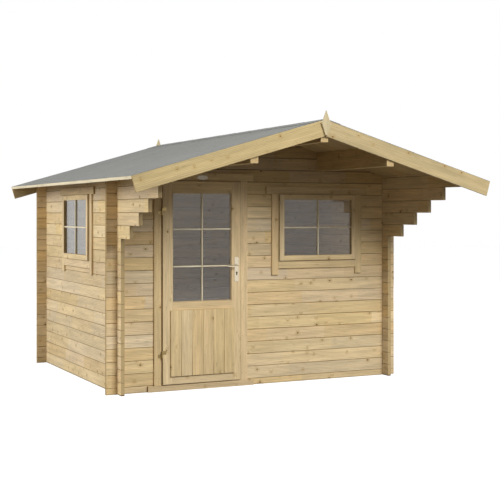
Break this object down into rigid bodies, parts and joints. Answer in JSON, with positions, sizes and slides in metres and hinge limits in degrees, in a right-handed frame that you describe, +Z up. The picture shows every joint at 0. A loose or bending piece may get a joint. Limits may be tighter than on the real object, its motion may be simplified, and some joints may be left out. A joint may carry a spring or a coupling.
{
  "type": "log cabin",
  "caption": "Gabled log cabin with notched log corners, a deep front canopy on stepped corbel logs, a half-glazed hinged door and barred windows.",
  "frame": {"origin": "on the ground, under the middle of the roof", "axes": "+X to the right along the front, +Y from the front to the back, +Z up"},
  "size_m": [3.4238, 3.8966, 2.4601],
  "materials": {
    "log_spruce": "planed, untreated",
    "beam_spruce": "planed, untreated",
    "boarding": "planed, untreated",
    "trim_spruce": "planed, untreated",
    "joinery_spruce": "planed, untreated",
    "roofing_felt": "mineral felt",
    "window_glass": "clear",
    "zinc_plated_steel": "zinc plated",
    "satin_nickel": "satin"
  },
  "bodies": {
    "cabin": {"left_wall_logs": "log_spruce", "right_wall_logs": "log_spruce", "back_wall_logs": "log_spruce", "front_sill_log": "log_spruce", "front_wall_left_logs": "log_spruce", "front_wall_right_logs": "log_spruce", "front_gable_logs": "log_spruce", "back_gable_logs": "log_spruce", "ridge_purlin": "beam_spruce", "left_purlin": "beam_spruce", "right_purlin": "beam_spruce", "floor_bearers": "beam_spruce", "left_roof_deck": "boarding", "right_roof_deck": "boarding", "floor_deck": "boarding", "left_roof_felt": "roofing_felt", "right_roof_felt": "roofing_felt", "ridge_cap": "roofing_felt", "front_left_barge": "trim_spruce", "front_right_barge": "trim_spruce", "back_left_barge": "trim_spruce", "back_right_barge": "trim_spruce", "front_finial": "trim_spruce", "back_finial": "trim_spruce", "left_eave_trim": "trim_spruce", "right_eave_trim": "trim_spruce", "door_sill": "trim_spruce", "door_architrave": "trim_spruce", "front_window_architrave": "trim_spruce", "left_window_architrave": "trim_spruce", "door_frame": "joinery_spruce", "front_window_frame": "joinery_spruce", "left_window_frame": "joinery_spruce", "front_window_sash": "joinery_spruce", "left_window_sash": "joinery_spruce", "front_window_glass": "window_glass", "left_window_glass": "window_glass", "door_hinge_flags": "zinc_plated_steel"},
    "door": {"door_leaf_frame": "joinery_spruce", "door_panel": "joinery_spruce", "door_glass": "window_glass", "door_hinge_knuckles": "zinc_plated_steel", "door_lock_plates": "satin_nickel"},
    "lever": {"door_lever": "satin_nickel"}
  },
  "joints": [
    {"name": "door_swing", "type": "hinge", "parent": "cabin", "child": "door", "pos_m": [-0.988, -0.722, 0.9], "axis": [0, 0, -1], "range_deg": [0, 110]},
    {"name": "lever_turn", "type": "hinge", "parent": "door", "child": "lever", "pos_m": [-0.252, -0.695, 1.117], "axis": [0, -1, 0], "range_deg": [0, 40], "stiffness_Nm_per_rad": 2, "springref_deg": -14.32}
  ]
}
